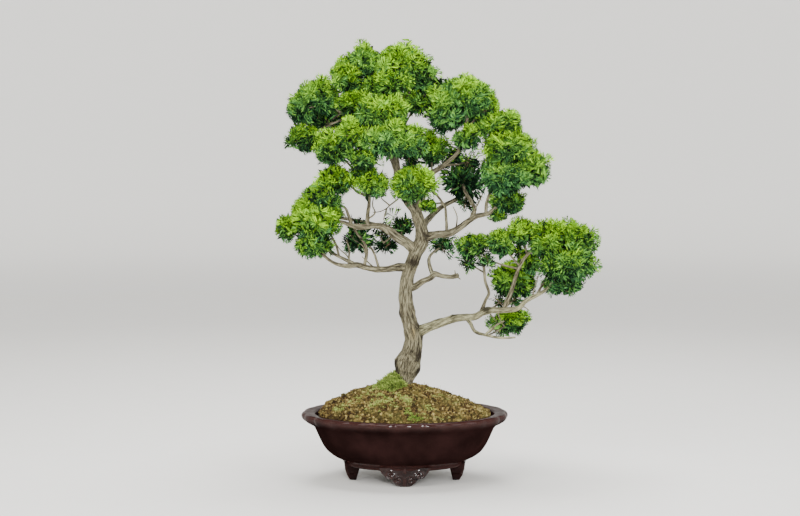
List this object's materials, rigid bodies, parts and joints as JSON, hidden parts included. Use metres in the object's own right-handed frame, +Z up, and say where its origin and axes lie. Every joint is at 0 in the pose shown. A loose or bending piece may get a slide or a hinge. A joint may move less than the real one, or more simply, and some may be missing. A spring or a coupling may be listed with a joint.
{
  "type": "bonsai tree in a pot",
  "caption": "Upright hinoki cypress bonsai with layered fan-spray foliage, in a dark glazed lobed oval pot on bracket feet.",
  "frame": {"origin": "middle of the whole object's footprint box, on the surface the pot's feet stand on", "axes": "+Z up the tree; +Y from the tree's front to its back; +X to the right, seen from the front"},
  "size_m": [0.4002, 0.2468, 0.5361],
  "materials": {
    "bark": "rough living bark, grey-brown with lighter fibres",
    "glaze": "glossy dark aubergine glaze",
    "soil": "loose clay grains with moss",
    "screen": "matte",
    "foliage": "living scale leaves, satin"
  },
  "bodies": {
    "root": {"wood": "bark", "pot": "glaze", "soil": "soil", "drain_screen_left": "screen", "drain_screen_right": "screen", "foliage_top_a": "foliage", "foliage_top_b": "foliage", "foliage_top_c": "foliage", "foliage_top_d": "foliage", "foliage_top_e": "foliage", "foliage_crown_back": "foliage", "foliage_left_a": "foliage", "foliage_left_b": "foliage", "foliage_left_c": "foliage", "foliage_left_d": "foliage", "foliage_front_a": "foliage", "foliage_front_b": "foliage", "foliage_front_c": "foliage", "foliage_front_d": "foliage", "foliage_front_e": "foliage", "foliage_right_a": "foliage", "foliage_right_b": "foliage", "foliage_right_c": "foliage", "foliage_right_d": "foliage", "foliage_right_e": "foliage", "foliage_right_f": "foliage", "foliage_right_g": "foliage", "foliage_right_h": "foliage", "foliage_mid_a": "foliage", "foliage_mid_b": "foliage", "foliage_hang": "foliage", "foliage_low_a": "foliage", "foliage_low_b": "foliage", "foliage_left_e": "foliage", "foliage_left_f": "foliage", "foliage_left_g": "foliage", "foliage_left_h": "foliage", "foliage_left_i": "foliage", "foliage_inner_a": "foliage", "foliage_inner_b": "foliage", "foliage_inner_c": "foliage", "foliage_inner_d": "foliage", "foliage_far_a": "foliage", "foliage_far_b": "foliage", "foliage_far_c": "foliage", "foliage_far_d": "foliage", "foliage_far_e": "foliage", "foliage_far_f": "foliage", "foliage_far_g": "foliage", "foliage_under_a": "foliage", "foliage_under_b": "foliage", "foliage_back_a": "foliage", "foliage_back_b": "foliage", "foliage_back_c": "foliage", "foliage_back_d": "foliage", "foliage_back_e": "foliage", "foliage_back_f": "foliage", "foliage_back_g": "foliage", "foliage_back_h": "foliage", "foliage_back_i": "foliage"}
  },
  "joints": []
}
